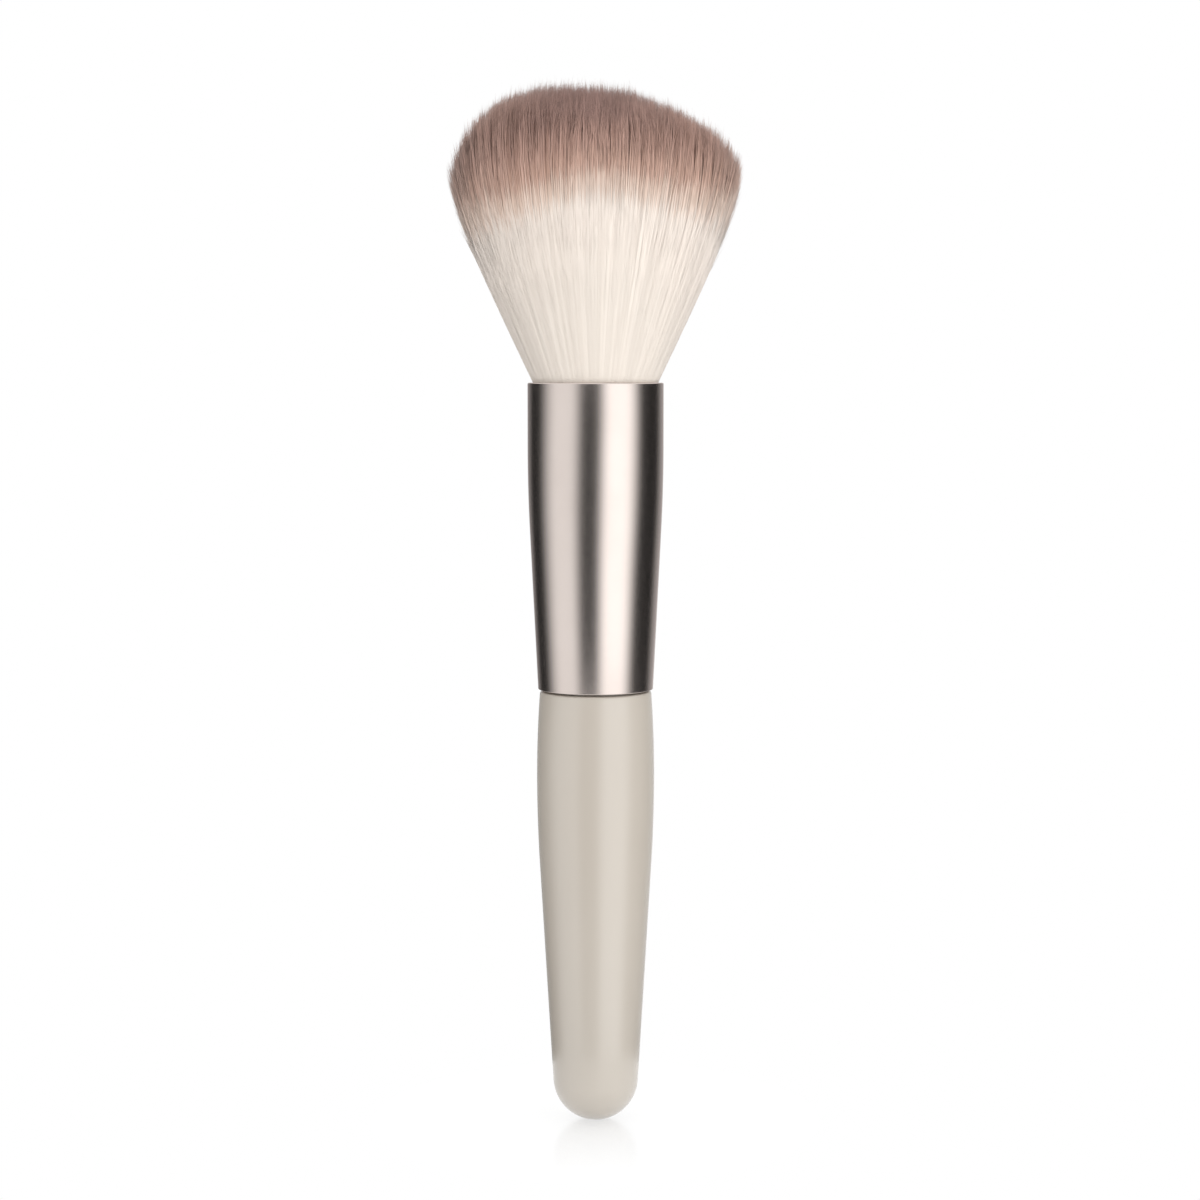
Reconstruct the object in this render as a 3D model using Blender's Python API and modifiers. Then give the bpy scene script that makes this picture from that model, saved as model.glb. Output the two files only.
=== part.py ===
"""A powder brush: a turned wooden handle, a tapering metal ferrule and a flared tuft of two-tone fibres.

Lengths are in metres and +Z points up. The brush stands on the end of its handle at the origin, with the
tuft at the top. The tuft is wider along X than along Y, and its slanted crown is lower on the +X side.
"""

import math

import bmesh
import bpy
from mathutils import Matrix, Vector

# Fits between pieces, and how fine the round ones are
seat_gap = 0.0003
buried_overlap = 0.0005
merge_distance = 0.00001
turned_steps = 48
smooth_angle = math.radians(40)

# Handle: a round end, a straight taper, a bend into the swell, and a shoulder under the ferrule
handle_length = 0.0696
end_radius = 0.00685
end_flat_radius = 0.0015
swell_radius = 0.0094
swell_below_shoulder = 0.0136
swell_bend = 0.0142
shoulder_inset = 0.00028
shoulder_corner = 0.0005
tenon_chamfer = 0.0010
groove_depth = 0.0006
groove_width = 0.0014
groove_count = 3
end_arc_steps = 9
swell_arc_steps = 5
corner_arc_steps = 2

# Ferrule: straight at its mouth, then a bend into a straight taper down to its foot
ferrule_length = 0.0488
ferrule_mouth_radius = 0.0108
ferrule_foot_radius = 0.00918
ferrule_wall = 0.0005
ferrule_straight = 0.0102
ferrule_bend = 0.0130
ferrule_bend_steps = 5
lip_arc_steps = 4

# What holds the tuft and the tenon inside the ferrule
film_thickness = 0.0005
film_end_inset = 0.0012
root_glue_thickness = 0.0056
air_space = 0.0065
thread_diameter = 0.0005
thread_gap = 0.00045
thread_end_inset = 0.0006
thread_turns = 4
thread_points_per_turn = 24

# Tuft: how deep it is set, how far it flares, and the crown on which its strands end
tuft_depth = 0.0120
tuft_half_width = 0.0234
tuft_half_depth = 0.0168
shoulder_rise = 0.0302
crown_rise = 0.0162
crown_slant = 0.0013
crown_rounding = 0.0070
crown_power = 2.2
slant_power = 1.5
flare_power = 4
side_flare_share = 1.09
front_flare_share = 1.5

# Strands: three-sided, thickest where their dyed ends begin, and set out like the seeds of a sunflower
strand_radius = 0.00036
strand_belly_radius = 0.00074
strand_tip_radius = 0.00035
strand_edge_gap = 0.0001
dye_length = 0.0090
strand_sides = 3
strand_count = 310
golden_angle = math.pi * (3 - math.sqrt(5))
halvings = 40


def remove_startup_objects():
    for item in list(bpy.data.objects):
        bpy.data.objects.remove(item, do_unlink=True)


def new_collection(name):
    collection = bpy.data.collections.new(name)
    bpy.context.scene.collection.children.link(collection)
    return collection


def new_material(name, colour, roughness, metallic=0.0):
    material = bpy.data.materials.new(name)
    material.use_nodes = True
    shader = material.node_tree.nodes["Principled BSDF"]
    shader.inputs["Base Color"].default_value = (*colour, 1.0)
    shader.inputs["Roughness"].default_value = roughness
    shader.inputs["Metallic"].default_value = metallic
    return material


def new_object(name, data, collection):
    item = bpy.data.objects.new(name, data)
    collection.objects.link(item)
    return item


def arc(centre_radius, centre_height, radius, start, end, steps):
    """Points (radius, height) on an arc, between two angles above the horizontal."""
    points = []
    for step in range(steps + 1):
        angle = start + (end - start) * step / steps
        points.append((centre_radius + radius * math.cos(angle), centre_height + radius * math.sin(angle)))
    return points


def turned(name, profile, material, collection):
    """A turned solid from (radius, height) points that run down its outer side.

    A profile that starts and ends on the axis is left open there, and any other is closed into a ring.
    """
    on_axis = profile[0][0] == 0 and profile[-1][0] == 0
    count = len(profile)
    edges = [(i, (i + 1) % count) for i in range(count - 1 if on_axis else count)]
    mesh = bpy.data.meshes.new(name)
    mesh.from_pydata([(radius, 0, height) for radius, height in profile], edges, [])
    mesh.materials.append(material)
    item = new_object(name, mesh, collection)
    screw = item.modifiers.new("turn", "SCREW")
    screw.axis = "Z"
    screw.steps = turned_steps
    screw.render_steps = turned_steps
    screw.use_merge_vertices = True
    screw.merge_threshold = merge_distance
    graph = bpy.context.evaluated_depsgraph_get()
    item.data = bpy.data.meshes.new_from_object(item.evaluated_get(graph))
    item.modifiers.clear()
    item.data.shade_smooth()
    item.data.set_sharp_from_angle(angle=smooth_angle)
    return item


# Ferrule


def foot_height():
    """The ferrule's lower rim, just clear of the handle's shoulder."""
    return handle_length + seat_gap


def mouth_height():
    return foot_height() + ferrule_length


def ferrule_radius(height):
    """The ferrule's outer radius at a height."""
    taper_run = ferrule_length - ferrule_straight - ferrule_bend / 2
    taper = (ferrule_mouth_radius - ferrule_foot_radius) / taper_run
    below = mouth_height() - ferrule_straight - height
    if below <= 0:
        return ferrule_mouth_radius
    if below < ferrule_bend:
        return ferrule_mouth_radius - taper * below**2 / (2 * ferrule_bend)
    return ferrule_mouth_radius - taper * (below - ferrule_bend / 2)


def bore_radius(height):
    return ferrule_radius(height) - ferrule_wall


def bend_heights(top, bottom):
    """The heights between two others at which the ferrule's wall bends, from the top down."""
    start = mouth_height() - ferrule_straight
    heights = [start - ferrule_bend * step / ferrule_bend_steps for step in range(ferrule_bend_steps + 1)]
    return [height for height in heights if bottom < height < top]


def make_ferrule(collection):
    nickel = new_material("satin_nickel", (0.66, 0.60, 0.55), 0.28, 1.0)
    lip = ferrule_wall / 2
    top = mouth_height() - lip
    bottom = foot_height() + lip
    mouth_lip = arc(ferrule_radius(top) - lip, top, lip, math.radians(180), 0, lip_arc_steps)
    foot_lip = arc(ferrule_radius(bottom) - lip, bottom, lip, 0, math.radians(-180), lip_arc_steps)
    bends = bend_heights(top, bottom)
    outside = [(ferrule_radius(height), height) for height in bends]
    inside = [(bore_radius(height), height) for height in reversed(bends)]
    return turned("ferrule", mouth_lip + outside + foot_lip + inside, nickel, collection)


def glue_profile(top, bottom):
    """The outside of a body of glue that fills the ferrule's bore between two heights."""
    heights = [top] + bend_heights(top, bottom) + [bottom]
    return [(bore_radius(height) - seat_gap, height) for height in heights]


# The tuft's glued root, its thread and the epoxy under it


def thread_pitch():
    return thread_diameter + thread_gap


def root_top():
    return mouth_height() - tuft_depth


def root_bottom():
    """The glued root is as thick as its winding, with a little bare at each end."""
    return root_top() - thread_turns * thread_pitch() - 2 * thread_end_inset


def root_radius():
    """The glued root leaves room for its thread inside the ferrule."""
    return bore_radius(root_bottom()) - 2 * seat_gap - thread_diameter


def thread_centres():
    """The thread's centre line, a helix round the root with a clear gap between its turns."""
    radius = root_radius() + seat_gap + thread_diameter / 2
    centres = []
    for step in range(thread_turns * thread_points_per_turn + 1):
        turn = step / thread_points_per_turn
        height = root_bottom() + thread_end_inset + thread_pitch() * turn
        angle = 2 * math.pi * turn
        centres.append(Vector((radius * math.cos(angle), radius * math.sin(angle), height)))
    return centres


def least_thread_gap(centres):
    """The least gap from the thread to itself, between points at least half a turn apart."""
    apart = thread_points_per_turn // 2
    pairs = ((i, j) for i in range(len(centres)) for j in range(i + apart, len(centres)))
    return min((centres[i] - centres[j]).length for i, j in pairs) - thread_diameter


def make_tie_thread(collection):
    cotton = new_material("cotton_thread", (0.80, 0.77, 0.70), 0.9)
    centres = thread_centres()
    print("least gap from the tie thread to itself, in metres:", least_thread_gap(centres))
    curve = bpy.data.curves.new("tie_thread", "CURVE")
    curve.dimensions = "3D"
    curve.bevel_depth = thread_diameter / 2
    curve.bevel_resolution = 1
    curve.use_fill_caps = True
    curve.materials.append(cotton)
    spline = curve.splines.new("POLY")
    spline.points.add(len(centres) - 1)
    for point, centre in zip(spline.points, centres):
        point.co = (*centre, 1.0)
    return new_object("tie_thread", curve, collection)


def root_glue_top():
    return root_bottom() - seat_gap


def root_glue_bottom():
    return root_glue_top() - root_glue_thickness


def make_root_glue(collection):
    epoxy = new_material("root_epoxy", (0.70, 0.62, 0.44), 0.25)
    top = root_glue_top()
    bottom = root_glue_bottom()
    profile = [(0, top)] + glue_profile(top, bottom) + [(0, bottom)]
    return turned("root_glue", profile, epoxy, collection)


# Handle


def tenon_radius():
    """The tenon leaves room for a film of glue inside the ferrule's foot."""
    return ferrule_foot_radius - ferrule_wall - 2 * seat_gap - film_thickness


def tenon_top():
    return root_glue_bottom() - air_space


def tenon_profile():
    """The tenon's outside, from its top down to the shoulder's ledge, with its glue grooves."""
    radius = tenon_radius()
    top = tenon_top()
    profile = [(0, top), (radius - tenon_chamfer, top), (radius, top - tenon_chamfer)]
    pitch = (top - tenon_chamfer - handle_length) / (groove_count + 1)
    for groove in range(groove_count):
        middle = top - tenon_chamfer - pitch * (groove + 1)
        profile.append((radius, middle + groove_width / 2))
        profile.append((radius - groove_depth, middle))
        profile.append((radius, middle - groove_width / 2))
    profile.append((radius, handle_length))
    return profile


def swell_height():
    return handle_length - swell_below_shoulder


def end_centre_height():
    """The centre of the handle's round end, which is cut off flat where the handle was parted."""
    return math.sqrt(end_radius**2 - end_flat_radius**2)


def taper_angle():
    """Half the angle of the straight taper, which touches the round end and runs into the swell's bend."""
    rise = swell_height() - swell_bend / 2 - end_centre_height()
    reach = math.hypot(swell_radius, rise)
    return math.acos(end_radius / reach) - math.atan2(rise, swell_radius)


def crowned_side(peak_drop, length, start, end):
    """The handle's outside between two heights near its swell, where it is a parabola."""
    points = []
    for step in range(swell_arc_steps + 1):
        height = start + (end - start) * step / swell_arc_steps
        drop = peak_drop * ((height - swell_height()) / length) ** 2
        points.append((swell_radius - drop, height))
    return points


def handle_profile():
    shoulder_drop = swell_radius - (ferrule_foot_radius - shoulder_inset)
    corner_bottom = handle_length - shoulder_corner
    upper = crowned_side(shoulder_drop, swell_below_shoulder, corner_bottom, swell_height())
    taper_drop = math.tan(taper_angle()) * swell_bend / 2
    lower = crowned_side(taper_drop, swell_bend, swell_height(), swell_height() - swell_bend)
    corner_middle = upper[0][0] - shoulder_corner
    corner = arc(corner_middle, corner_bottom, shoulder_corner, math.radians(90), 0, corner_arc_steps)
    flat_angle = -math.acos(end_flat_radius / end_radius)
    end = arc(0, end_centre_height(), end_radius, -taper_angle(), flat_angle, end_arc_steps)
    return tenon_profile() + corner + upper[1:] + lower[1:] + end + [(0, 0)]


def make_handle(collection):
    lacquer = new_material("greige_lacquer", (0.60, 0.55, 0.49), 0.42)
    return turned("handle", handle_profile(), lacquer, collection)


def make_handle_glue(collection):
    amber = new_material("handle_adhesive", (0.62, 0.50, 0.30), 0.35)
    top = tenon_top() - film_end_inset
    bottom = foot_height() + film_end_inset
    inner = tenon_radius() + seat_gap
    profile = glue_profile(top, bottom) + [(inner, bottom), (inner, top)]
    return turned("handle_glue", profile, amber, collection)


# Tuft


def mouth_reach():
    """How far the outermost strands stand from the axis at the ferrule's mouth."""
    return bore_radius(mouth_height()) - seat_gap - strand_radius


def flare(rise, reach, reach_rise, flare_share):
    """How far the tuft's outside is from the axis at a rise above the mouth.

    It leaves the mouth a little steeper than a straight run, and bends upright to pass through the reach.
    """
    slope = flare_share * (reach - mouth_reach()) / reach_rise
    excess = mouth_reach() + slope * reach_rise - reach
    return mouth_reach() + slope * rise - excess * (rise / reach_rise) ** flare_power


def half_width_at(rise):
    return flare(rise, tuft_half_width, shoulder_rise, side_flare_share)


def half_depth_at(rise):
    crown_edge_rise = shoulder_rise + crown_rise - crown_rounding
    return flare(rise, tuft_half_depth, crown_edge_rise, front_flare_share)


def place_at(across, deep, rise):
    """Where a strand is in plan at a rise, from its shares of the tuft's half width and half depth."""
    return across * half_width_at(rise), deep * half_depth_at(rise)


def arch(share):
    """A full round arch, 1 in the middle and 0 at its foot."""
    return (1 - min(share, 1) ** crown_power) ** (1 / crown_power)


def crown_over(x, y):
    """How far the crown is above the mouth over a place in plan."""
    out_share = abs(x) / tuft_half_width
    deep_share = abs(y) / tuft_half_depth
    slant = math.copysign(crown_slant * math.sin(math.pi * min(out_share, 1) ** slant_power), x)
    return shoulder_rise + crown_rise * arch(out_share) - slant - crown_rounding * (1 - arch(deep_share))


def tip_rise(across, deep):
    """The rise at which a strand meets the crown, found by halving."""
    low = 0.0
    high = shoulder_rise + crown_rise + crown_slant
    for _ in range(halvings):
        middle = (low + high) / 2
        if crown_over(*place_at(across, deep, middle)) > middle:
            low = middle
        else:
            high = middle
    return low


def strand_shares():
    """Each strand's shares of the half width and half depth, from the middle out."""
    shares = []
    for place in range(strand_count):
        out_share = math.sqrt((place + 0.5) / strand_count)
        angle = golden_angle * place
        shares.append((out_share * math.cos(angle), out_share * math.sin(angle)))
    return shares


def strand_path(across, deep):
    """A strand's centre points: in the glued root, at the mouth, where its dye begins, and at its tip."""
    root_reach = root_radius() - strand_radius - strand_edge_gap
    points = [Vector((across * root_reach, deep * root_reach, root_top() - buried_overlap))]
    tip = tip_rise(across, deep)
    for rise in (0.0, tip - dye_length, tip):
        points.append(Vector((*place_at(across, deep, rise), mouth_height() + rise)))
    return points


def belly_radius(belly):
    """Strands are thicker where the tuft is deeper, so that neighbours stay apart."""
    return strand_belly_radius * half_depth_at(belly.z - mouth_height()) / tuft_half_depth


def drawn_face(bm, face, start, end, growth):
    """A face drawn out from its old middle to a new one, and scaled there."""
    drawn = bmesh.ops.extrude_discrete_faces(bm, faces=[face])["faces"][0]
    for vert in drawn.verts:
        vert.co = end + (vert.co - start) * growth
    return drawn


def add_strand(bm, path, turn):
    """A three-sided strand, drawn up from its root and slimmer again at its blunt tip."""
    root, mouth, belly, tip = path
    lean = mouth - root
    prism = bmesh.ops.create_cone(
        bm,
        cap_ends=True,
        segments=strand_sides,
        radius1=strand_radius,
        radius2=strand_radius,
        depth=lean.z,
        matrix=Matrix.Translation((root + mouth) / 2) @ Matrix.Rotation(turn, 4, "Z"),
    )
    for vert in prism["verts"]:
        lift = math.copysign(1, vert.co.z - (root.z + mouth.z) / 2)
        vert.co += Vector((lean.x, lean.y, 0)) * lift / 2
    faces = {face for vert in prism["verts"] for face in vert.link_faces}
    top = max(faces, key=lambda face: face.calc_center_median().z)
    top = drawn_face(bm, top, mouth, belly, belly_radius(belly) / strand_radius)
    top = drawn_face(bm, top, belly, tip, strand_tip_radius / belly_radius(belly))
    for vert in top.verts:
        for face in vert.link_faces:
            face.material_index = 1


def make_strands(ivory, mauve, collection):
    """All the strands as one helper, which the glued root is joined with."""
    bm = bmesh.new()
    for across, deep in strand_shares():
        add_strand(bm, strand_path(across, deep), math.atan2(deep, across))
    mesh = bpy.data.meshes.new("strands")
    bm.to_mesh(mesh)
    bm.free()
    mesh.materials.append(ivory)
    mesh.materials.append(mauve)
    strands = new_object("strands", mesh, collection)
    strands.hide_render = True
    strands.display_type = "WIRE"
    return strands


def make_bristle_tuft(collection, helpers):
    ivory = new_material("ivory_fibre", (0.80, 0.73, 0.63), 0.55)
    mauve = new_material("mauve_fibre_ends", (0.31, 0.19, 0.165), 0.6)
    radius = root_radius()
    profile = [(0, root_top()), (radius, root_top()), (radius, root_bottom()), (0, root_bottom())]
    tuft = turned("bristle_tuft", profile, ivory, collection)
    tuft.data.materials.append(mauve)
    join = tuft.modifiers.new("fused strands", "BOOLEAN")
    join.operation = "UNION"
    join.object = make_strands(ivory, mauve, helpers)
    return tuft


def build():
    remove_startup_objects()
    brush = new_collection("powder_brush")
    helpers = new_collection("helpers")
    axis = new_object("brush_axis", None, brush)
    pieces = [
        make_handle(brush),
        make_handle_glue(brush),
        make_ferrule(brush),
        make_root_glue(brush),
        make_tie_thread(brush),
        make_bristle_tuft(brush, helpers),
    ]
    for piece in pieces:
        piece.parent = axis


build()
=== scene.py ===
import math

import bpy
import numpy as np
from mathutils.kdtree import KDTree
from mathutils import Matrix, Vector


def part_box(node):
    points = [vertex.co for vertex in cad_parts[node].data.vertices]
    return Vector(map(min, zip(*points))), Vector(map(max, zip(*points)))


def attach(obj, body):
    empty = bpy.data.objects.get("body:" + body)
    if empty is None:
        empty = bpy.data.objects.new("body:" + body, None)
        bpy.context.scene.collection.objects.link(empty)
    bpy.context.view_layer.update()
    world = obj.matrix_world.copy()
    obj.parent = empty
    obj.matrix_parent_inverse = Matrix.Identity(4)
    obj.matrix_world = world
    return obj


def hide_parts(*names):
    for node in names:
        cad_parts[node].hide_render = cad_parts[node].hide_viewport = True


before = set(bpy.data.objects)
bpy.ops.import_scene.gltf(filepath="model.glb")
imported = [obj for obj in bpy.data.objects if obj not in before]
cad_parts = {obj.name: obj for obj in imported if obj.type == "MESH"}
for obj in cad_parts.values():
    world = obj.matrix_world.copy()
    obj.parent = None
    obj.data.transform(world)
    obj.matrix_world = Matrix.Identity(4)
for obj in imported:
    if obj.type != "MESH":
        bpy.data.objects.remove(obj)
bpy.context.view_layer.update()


# Handle
# A birch blank turned on a lathe, parted off flat at its round end and sprayed with a matt greige
# lacquer. Its tenon, with three glue grooves, goes up inside the ferrule.
ferrule_low, ferrule_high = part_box("ferrule")
tenon_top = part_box("handle")[1].z
seat_gap = 0.0003
shoulder_height = ferrule_low.z - seat_gap
end_radius = 0.00685
end_flat_radius = 0.0015
end_steps = 18
swell_radius = 0.0094
swell_below_shoulder = 0.0136
swell_steps = 10
swell_bend = 0.0142
swell_bend_steps = 8
shoulder_radius = 0.0089
shoulder_corner = 0.0005
shoulder_corner_steps = 6
tenon_radius = 0.00758
tenon_chamfer = 0.0010
groove_depth = 0.0006
groove_width = 0.0014
groove_count = 3
handle_sides = 160
handle_crisp_angle = math.radians(35)
ramp_middle = 0.5
mottle_detail = 3.0
grain_detail = 6.0
lacquer_pale = (0.567, 0.514, 0.447, 1.0)
lacquer_deep = (0.533, 0.478, 0.413, 1.0)
lacquer_stops = [(0.3, lacquer_deep), (0.7, lacquer_pale)]
lacquer_grain = {"Mottle Scale": 45.0, "Grain Scale": 900.0, "Stretch": (1.0, 1.0, 0.35)}
lacquer_roughness = (0.36, 0.46)
lacquer_peel = {"Strength": 0.12, "Distance": 0.00004}
lacquer_gloss = {
    "Specular IOR Level": 0.7,
    "Coat Weight": 0.85,
    "Coat IOR": 1.65,
    "Coat Roughness": 0.17,
}


def drawn_up(name, rings, sides, crisp_angle):
    """A closed piece, drawn up from its lowest ring through (half width, half depth, height) rings."""
    bpy.ops.object.select_all(action="DESELECT")
    last_width, last_depth, last_height = rings[0]
    bpy.ops.mesh.primitive_circle_add(
        vertices=sides, radius=last_width, fill_type="NGON", location=(0, 0, last_height)
    )
    piece = bpy.context.object
    piece.name = name
    bpy.ops.object.mode_set(mode="EDIT")
    for width, depth, height in rings[1:]:
        bpy.ops.mesh.extrude_region_move(
            TRANSFORM_OT_translate={"value": (0, 0, height - last_height)}
        )
        bpy.ops.transform.resize(value=(width / last_width, depth / last_depth, 1))
        last_width, last_depth, last_height = width, depth, height
    bpy.ops.mesh.select_all(action="SELECT")
    bpy.ops.mesh.normals_make_consistent(inside=False)
    bpy.ops.object.mode_set(mode="OBJECT")
    bpy.ops.object.transform_apply(location=True, rotation=True, scale=True)
    bpy.ops.object.shade_smooth_by_angle(angle=crisp_angle)
    return piece


def arc(centre_radius, centre_height, radius, start, end, steps):
    """Rings on an arc, between two angles above the horizontal, as (radius, height) pairs."""
    angles = [start + (end - start) * step / steps for step in range(steps + 1)]
    return [
        (centre_radius + radius * math.cos(angle), centre_height + radius * math.sin(angle))
        for angle in angles
    ]


def handle_rings():
    """The handle's (radius, height) rings, from its flat end up to the top of its tenon."""
    swell_height = shoulder_height - swell_below_shoulder
    end_centre = math.sqrt(end_radius**2 - end_flat_radius**2)
    rise = swell_height - swell_bend / 2 - end_centre
    taper = math.acos(end_radius / math.hypot(swell_radius, rise)) - math.atan2(rise, swell_radius)
    flat_angle = -math.acos(end_flat_radius / end_radius)
    rings = arc(0, end_centre, end_radius, flat_angle, -taper, end_steps)
    bend_drop = math.tan(taper) * swell_bend / 2
    for step in range(swell_bend_steps + 1):
        share = 1 - step / swell_bend_steps
        rings.append((swell_radius - bend_drop * share**2, swell_height - swell_bend * share))
    shoulder_drop = swell_radius - shoulder_radius
    corner_height = shoulder_height - shoulder_corner
    for step in range(1, swell_steps + 1):
        height = swell_height + (corner_height - swell_height) * step / swell_steps
        share = (height - swell_height) / swell_below_shoulder
        rings.append((swell_radius - shoulder_drop * share**2, height))
    corner_middle = rings[-1][0] - shoulder_corner
    quarter = math.radians(90)
    corner = arc(corner_middle, corner_height, shoulder_corner, 0, quarter, shoulder_corner_steps)
    rings += corner[1:]
    rings.append((tenon_radius, shoulder_height))
    pitch = (tenon_top - tenon_chamfer - shoulder_height) / (groove_count + 1)
    for groove in range(groove_count):
        middle = shoulder_height + pitch * (groove + 1)
        rings.append((tenon_radius, middle - groove_width / 2))
        rings.append((tenon_radius - groove_depth, middle))
        rings.append((tenon_radius, middle + groove_width / 2))
    rings.append((tenon_radius, tenon_top - tenon_chamfer))
    rings.append((tenon_radius - tenon_chamfer, tenon_top))
    return rings


def new_node(tree, kind, *in_order, **by_name):
    """A shader node whose inputs are set, or linked where the value is another node's output."""
    made = tree.nodes.new(kind)
    sockets = list(made.inputs)[:len(in_order)]
    sockets += [made.inputs[name.replace("_", " ")] for name in by_name]
    for socket, value in zip(sockets, [*in_order, *by_name.values()]):
        if isinstance(value, bpy.types.NodeSocket):
            tree.links.new(value, socket)
        else:
            socket.default_value = value
    return made


def new_ramp(tree, factor, stops):
    """A colour ramp with a smooth run between (place, colour) stops."""
    ramp = new_node(tree, "ShaderNodeValToRGB", Fac=factor)
    ramp.color_ramp.interpolation = "EASE"
    while len(ramp.color_ramp.elements) < len(stops):
        ramp.color_ramp.elements.new(ramp_middle)
    for element, (place, colour) in zip(ramp.color_ramp.elements, stops):
        element.position = place
        element.color = colour
    return ramp.outputs["Color"]


def new_material(name, constants):
    """A material, its node tree and its Principled shader, with constants on the shader's sockets."""
    material = bpy.data.materials.new(name)
    material.use_nodes = True
    shader = material.node_tree.nodes["Principled BSDF"]
    for socket, value in constants.items():
        shader.inputs[socket].default_value = value
    return material, material.node_tree, shader


def surface_grain_group():
    """Broad mottle and fine grain from Object coordinates, for lacquer, glue, metal and fibres."""
    group = bpy.data.node_groups.new("surface_grain", "ShaderNodeTree")
    for name in ("Mottle Scale", "Grain Scale"):
        group.interface.new_socket(name, in_out="INPUT", socket_type="NodeSocketFloat")
    group.interface.new_socket("Stretch", in_out="INPUT", socket_type="NodeSocketVector")
    for name in ("Mottle", "Grain"):
        group.interface.new_socket(name, in_out="OUTPUT", socket_type="NodeSocketFloat")
    inputs = group.nodes.new("NodeGroupInput").outputs
    outputs = group.nodes.new("NodeGroupOutput").inputs
    place = new_node(group, "ShaderNodeTexCoord").outputs["Object"]
    mapped = new_node(group, "ShaderNodeMapping", Vector=place, Scale=inputs["Stretch"])
    for name, detail in (("Mottle", mottle_detail), ("Grain", grain_detail)):
        noise = new_node(
            group,
            "ShaderNodeTexNoise",
            Vector=mapped.outputs["Vector"],
            Scale=inputs[f"{name} Scale"],
            Detail=detail,
        )
        group.links.new(noise.outputs["Fac"], outputs[name])
    return group


surface_grain = surface_grain_group()


def grained(tree, values):
    """The mottle and the grain of the surface grain group, placed in a material with its own values."""
    grain = tree.nodes.new("ShaderNodeGroup")
    grain.node_tree = surface_grain
    for name, value in values.items():
        grain.inputs[name].default_value = value
    return grain.outputs["Mottle"], grain.outputs["Grain"]


def set_colour(tree, shader, mask, stops):
    """A base colour that runs through its stops over a mask."""
    tree.links.new(new_ramp(tree, mask, stops), shader.inputs["Base Color"])


def set_roughness(tree, shader, mask, low, high):
    """A roughness that runs from low to high over a mask."""
    spread = new_node(tree, "ShaderNodeMapRange", Value=mask, To_Min=low, To_Max=high)
    tree.links.new(spread.outputs["Result"], shader.inputs["Roughness"])


def set_relief(tree, shader, height, relief):
    """Relief too fine for the mesh."""
    bump = new_node(tree, "ShaderNodeBump", Height=height, **relief)
    tree.links.new(bump.outputs["Normal"], shader.inputs["Normal"])


def lacquer_material():
    """Matt greige lacquer, faintly mottled, with the fine orange peel of a sprayed coat."""
    material, tree, shader = new_material("greige_lacquer", lacquer_gloss)
    mottle, grain = grained(tree, lacquer_grain)
    set_colour(tree, shader, mottle, lacquer_stops)
    set_roughness(tree, shader, mottle, *lacquer_roughness)
    set_relief(tree, shader, grain, lacquer_peel)
    return material


handle_profile = [(radius, radius, height) for radius, height in handle_rings()]
handle = drawn_up("lacquered_handle", handle_profile, handle_sides, handle_crisp_angle)
handle.data.materials.append(lacquer_material())
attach(handle, "root")
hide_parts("handle")


# Handle glue
# A thin sleeve of amber adhesive between the tenon and the ferrule, which cures where it was squeezed
# up into the grooves. Nothing of it shows on the finished brush.
amber_pale = (0.70, 0.57, 0.34, 1.0)
amber_deep = (0.52, 0.38, 0.18, 1.0)
amber_roughness = (0.24, 0.44)
glue_cloud_places = (0.35, 0.65)
glue_grain = {"Mottle Scale": 160.0, "Grain Scale": 1400.0, "Stretch": (1.0, 1.0, 1.0)}
glue_pits = {"Strength": 0.3, "Distance": 0.00006}


def adhesive_material(name, deep, pale, roughness):
    """Cured glue, cloudy in places and lightly pitted by its bubbles."""
    material, tree, shader = new_material(name, {})
    mottle, grain = grained(tree, glue_grain)
    set_colour(tree, shader, mottle, list(zip(glue_cloud_places, (deep, pale))))
    set_roughness(tree, shader, grain, *roughness)
    set_relief(tree, shader, grain, glue_pits)
    return material


def refinish(node, material):
    """Gives a better finish to a CAD node that keeps its shape."""
    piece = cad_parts[node]
    piece.data.materials.clear()
    piece.data.materials.append(material)


refinish("handle_glue", adhesive_material("amber_adhesive", amber_deep, amber_pale, amber_roughness))


# Ferrule
# One drawn metal tube, tapered by spinning, with rounded rims and a champagne nickel plating that is
# satin finished. It is pushed over the tenon until it stops just short of the handle's shoulder.
mouth_radius = 0.0108
foot_radius = 0.00918
foot_corner = 0.0001
foot_corner_steps = 3
lip_steps = 8
ferrule_wall = 0.0005
ferrule_straight = 0.0102
ferrule_bend = 0.0130
ferrule_bend_steps = 12
ferrule_sides = 192
ferrule_crisp_angle = math.radians(50)
weld_distance = 0.000001
nickel_pale = (0.735, 0.655, 0.612, 1.0)
nickel_deep = (0.70, 0.618, 0.575, 1.0)
# A pink tint at the metal's edges, a painted warm reflection.
nickel_edge_reflection_tint = (0.92, 0.875, 0.87, 1.0)
nickel_stops = [(0.3, nickel_deep), (0.7, nickel_pale)]
nickel_grain = {"Mottle Scale": 60.0, "Grain Scale": 2400.0, "Stretch": (1.0, 1.0, 1.0)}
nickel_roughness = (0.20, 0.28)
nickel_blast = {"Strength": 0.06, "Distance": 0.00001}


def ferrule_radius(height):
    """The ferrule's outer radius at a height."""
    taper_run = ferrule_high.z - ferrule_low.z - ferrule_straight - ferrule_bend / 2
    taper = (mouth_radius - foot_radius) / taper_run
    below = ferrule_high.z - ferrule_straight - height
    if below <= 0:
        return mouth_radius
    if below < ferrule_bend:
        return mouth_radius - taper * below**2 / (2 * ferrule_bend)
    return mouth_radius - taper * (below - ferrule_bend / 2)


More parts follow.
